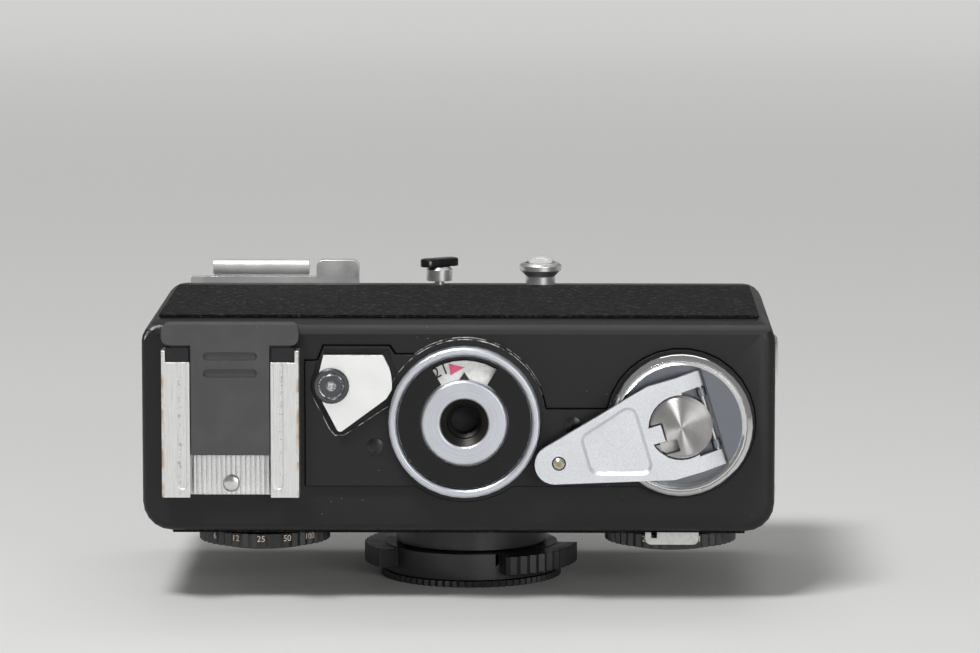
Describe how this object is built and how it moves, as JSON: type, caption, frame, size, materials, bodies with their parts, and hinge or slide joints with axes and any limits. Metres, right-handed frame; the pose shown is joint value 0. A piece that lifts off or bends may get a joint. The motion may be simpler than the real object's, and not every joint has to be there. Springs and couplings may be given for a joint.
{
  "type": "compact 35 mm viewfinder camera",
  "caption": "Small black film camera lying on its collapsed lens: folding rewind crank, film counter, tripod socket and flash shoe on its base, wind lever on top.",
  "frame": {"origin": "middle of the bounding box's bottom, on the table under the lens", "axes": "+X along the camera's width, +Y from its base to its top cover, +Z from its lens to its back"},
  "size_m": [0.0982, 0.0618, 0.0483],
  "materials": {
    "black_paint": "satin black paint, a little dusty",
    "plate_paint": "satin black paint",
    "leatherette": "pebbled black leatherette",
    "turned_satin": "turned satin metal",
    "counter_black": "black paint",
    "dial_white": "matt white with printed numbers",
    "lever_satin": "fine satin",
    "screw_satin": "turned",
    "worn_rail": "worn plating with brass at the edges",
    "ribbed_metal": "pressed ribs",
    "contact_metal": "bright",
    "grey_plastic": "moulded, slightly worn",
    "chrome": "polished",
    "spun_metal": "spun",
    "inner_metal": "plain",
    "crank_satin": "satin",
    "brass": "bright",
    "inner_black": "matt black",
    "mount_ring": "satin",
    "lens_black": "black anodised",
    "iris_dark": "dark blades",
    "lens_glass": "coated",
    "dial_black": "black anodised with painted numbers",
    "bracket_satin": "pale satin",
    "window_glass": "clear",
    "dark_metal": "dark"
  },
  "bodies": {
    "body": {"front_shell": "black_paint", "top_cover": "black_paint", "base_plate": "plate_paint", "front_leatherette": "leatherette", "counter_rim": "turned_satin", "counter_face": "counter_black", "tripod_bush": "turned_satin", "lock_pivot_screw": "screw_satin", "film_gate_block": "inner_black", "cassette_well": "inner_black", "take_up_well": "inner_black", "pressure_plate": "inner_black", "lens_mount": "mount_ring", "dial_bracket": "bracket_satin", "release_collar": "chrome", "meter_window": "window_glass", "finder_window": "window_glass", "meter_cell": "window_glass", "finder_tube": "inner_black", "eyepiece_collar": "chrome", "eyepiece_glass": "window_glass", "strap_lug": "chrome"},
    "back": {"back_cover": "black_paint", "back_leatherette": "leatherette", "shoe_rails": "worn_rail", "shoe_ribbed_floor": "ribbed_metal", "shoe_contact": "contact_metal", "left_shoe_spring": "inner_metal", "right_shoe_spring": "inner_metal"},
    "shoe_insert": {"shoe_cover": "grey_plastic"},
    "lock": {"lock_lever": "lever_satin"},
    "wind": {"wind_lever": "chrome", "wind_lever_tip": "chrome", "wind_lever_cap": "chrome"},
    "counter": {"counter_dial": "dial_white"},
    "spool": {"take_up_spool": "inner_black"},
    "film_sprocket": {"sprocket": "inner_metal"},
    "release": {"release_button": "chrome"},
    "lens_lock": {"lens_lock_button": "chrome"},
    "rewind_release": {"rewind_release_boss": "chrome", "rewind_release_lever": "dark_metal"},
    "rewind": {"rewind_knob": "chrome", "rewind_hub": "spun_metal", "rewind_fork": "inner_metal", "crank_pin": "inner_metal"},
    "crank": {"rewind_crank": "crank_satin", "crank_tip_pin": "brass"},
    "lens_carriage": {"lens_guide": "inner_metal"},
    "lens_barrel": {"lens_tube": "lens_black", "iris": "iris_dark", "rear_glass": "lens_glass"},
    "focus": {"focus_ring": "lens_black", "front_ring": "lens_black", "front_cell": "lens_black", "front_glass": "lens_glass"},
    "speed": {"speed_dial": "dial_black"},
    "aperture": {"aperture_dial": "dial_black"}
  },
  "joints": [
    {"name": "back_slide", "type": "slide", "parent": "body", "child": "back", "axis": [0, -1, 0], "range_m": [0, 0.062]},
    {"name": "shoe_cover_slide", "type": "slide", "parent": "back", "child": "shoe_insert", "axis": [0, 0, 1], "range_m": [0, 0.026]},
    {"name": "lock_turn", "type": "hinge", "parent": "body", "child": "lock", "pos_m": [-0.01993, -0.02697, 0.0339], "axis": [0, 1, 0], "range_deg": [0, 38]},
    {"name": "wind_turn", "type": "hinge", "parent": "body", "child": "wind", "pos_m": [-0.03882, 0.02867, 0.0289], "axis": [0, -1, 0], "range_deg": [0, 130]},
    {"name": "counter_turn", "type": "hinge", "parent": "body", "child": "counter", "pos_m": [0.00038, -0.02743, 0.0284], "axis": [0, 1, 0], "range_deg": [-5, 15]},
    {"name": "spool_turn", "type": "hinge", "parent": "body", "child": "spool", "pos_m": [-0.03882, -0.00082, 0.0289], "axis": [0, -1, 0], "range_deg": [-5, 330]},
    {"name": "sprocket_turn", "type": "hinge", "parent": "body", "child": "film_sprocket", "pos_m": [-0.02552, -0.00082, 0.0338], "axis": [0, -1, 0], "range_deg": [-5, 380]},
    {"name": "release_press", "type": "slide", "parent": "body", "child": "release", "axis": [0, -1, 0], "range_m": [0, 0.0014], "stiffness_N_per_m": 600},
    {"name": "lens_lock_press", "type": "slide", "parent": "body", "child": "lens_lock", "axis": [0, -1, 0], "range_m": [0, 0.0012], "stiffness_N_per_m": 600},
    {"name": "rewind_release_turn", "type": "hinge", "parent": "body", "child": "rewind_release", "pos_m": [-0.00462, 0.02347, 0.0464], "axis": [0, 0, 1], "range_deg": [0, 60]},
    {"name": "rewind_turn", "type": "hinge", "parent": "body", "child": "rewind", "pos_m": [0.03338, -0.02732, 0.028], "axis": [0, 1, 0], "continuous": true},
    {"name": "crank_fold", "type": "hinge", "parent": "rewind", "child": "crank", "pos_m": [0.03759, -0.02823, 0.02926], "axis": [-0.2874, 0, 0.9578], "range_deg": [0, 95]},
    {"name": "lens_extend", "type": "slide", "parent": "body", "child": "lens_carriage", "axis": [0, 0, -1], "range_m": [0, 0.0185]},
    {"name": "lens_twist", "type": "hinge", "parent": "lens_carriage", "child": "lens_barrel", "pos_m": [0.00088, 0.00168, 0.02], "axis": [0, 0, 1], "range_deg": [0, 40]},
    {"name": "focus_turn", "type": "hinge", "parent": "lens_barrel", "child": "focus", "pos_m": [0.00088, 0.00168, 0.003], "axis": [0, 0, 1], "range_deg": [0, 110]},
    {"name": "speed_turn", "type": "hinge", "parent": "body", "child": "speed", "pos_m": [-0.03103, -0.01303, 0.009], "axis": [0, 0, 1], "range_deg": [0, 240]},
    {"name": "aperture_turn", "type": "hinge", "parent": "body", "child": "aperture", "pos_m": [0.03218, -0.01303, 0.009], "axis": [0, 0, 1], "range_deg": [0, 240]}
  ],
  "couplings": [
    {"joint": "counter_turn", "follows": "wind_turn", "ratio": 0.07},
    {"joint": "spool_turn", "follows": "wind_turn", "ratio": 2.4},
    {"joint": "sprocket_turn", "follows": "wind_turn", "ratio": 2.77}
  ]
}
